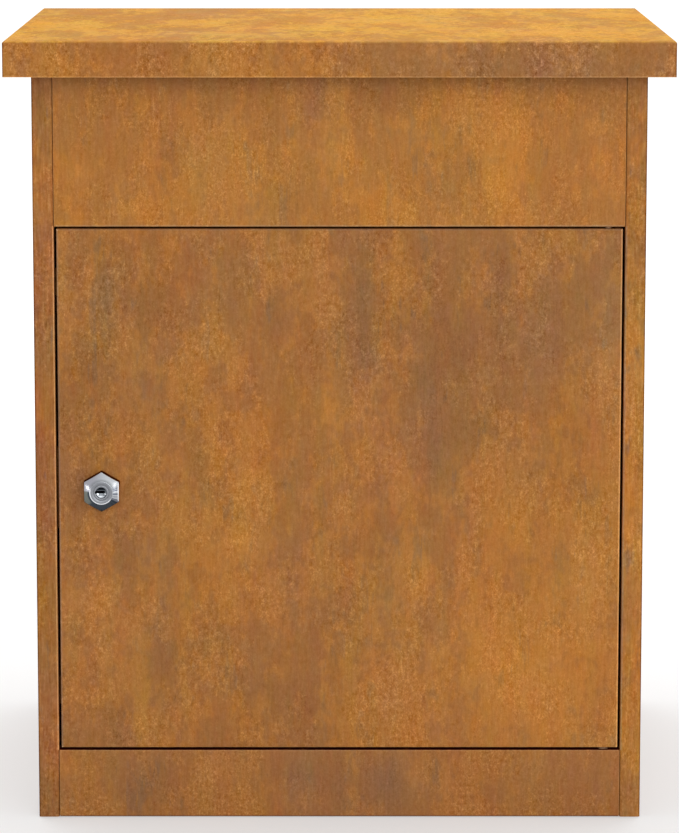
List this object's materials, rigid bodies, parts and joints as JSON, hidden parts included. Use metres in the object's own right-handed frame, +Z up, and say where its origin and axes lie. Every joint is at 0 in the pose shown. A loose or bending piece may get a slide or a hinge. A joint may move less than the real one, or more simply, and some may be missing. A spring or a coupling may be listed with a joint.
{
  "type": "parcel mailbox",
  "caption": "Free-standing rusted sheet-steel parcel mailbox with an overhanging lifting lid, a baffle under it and a cam-locked collection door.",
  "frame": {"origin": "middle of the foot's bounding box, on the ground", "axes": "+Z up, the door faces -Y, +X to the right of the door as seen from the front"},
  "size_m": [0.477, 0.37, 0.57],
  "materials": {
    "rust": "matt rust on folded sheet steel",
    "lid_rust": "brighter ochre rust on the sheet-steel lid",
    "inner_rust": "darker brown rust inside the box",
    "bright_steel": "satin bright steel",
    "zinc": "dull zinc plating",
    "rubber": "matt black rubber"
  },
  "bodies": {
    "cabinet": {"side_panel_left": "rust", "side_panel_right": "rust", "upper_front_panel": "rust", "plinth_panel": "rust", "back_panel": "rust", "base_panel": "inner_rust", "lock_strike": "inner_rust", "stop_tab_upper": "inner_rust", "stop_tab_lower": "inner_rust", "hinge_pin": "bright_steel", "door_pin_upper": "bright_steel", "door_pin_lower": "bright_steel", "hinge_leaf_fixed": "zinc", "edge_trim_left": "rubber", "edge_trim_right": "rubber", "lid_seal": "rubber", "strike_pad": "rubber", "tab_pad_upper": "rubber", "tab_pad_lower": "rubber"},
    "lid_body": {"lid": "lid_rust", "hinge_leaf_moving": "zinc", "lid_baffle": "inner_rust", "lid_stud_1": "zinc", "lid_stud_2": "zinc", "lid_stud_3": "zinc", "lid_stud_4": "zinc", "lid_stud_5": "zinc", "lid_nut_1": "zinc", "lid_nut_2": "zinc", "lid_nut_3": "zinc", "lid_nut_4": "zinc", "lid_nut_5": "zinc"},
    "door_body": {"door": "rust", "lock_barrel": "bright_steel", "lock_nut": "zinc"},
    "lock_core": {"lock_plug": "bright_steel", "lock_cam": "zinc", "cam_washer": "zinc", "cam_screw": "zinc"}
  },
  "joints": [
    {"name": "lid_hinge", "type": "hinge", "parent": "cabinet", "child": "lid_body", "pos_m": [0, 0.1797, 0.565], "axis": [-1, 0, 0], "range_deg": [0, 67.5]},
    {"name": "door_hinge", "type": "hinge", "parent": "cabinet", "child": "door_body", "pos_m": [0.193, -0.159, 0.243], "axis": [0, 0, 1], "range_deg": [0, 110]},
    {"name": "lock_turn", "type": "hinge", "parent": "door_body", "child": "lock_core", "pos_m": [-0.172, -0.165, 0.243], "axis": [0, 1, 0], "range_deg": [0, 90]}
  ]
}
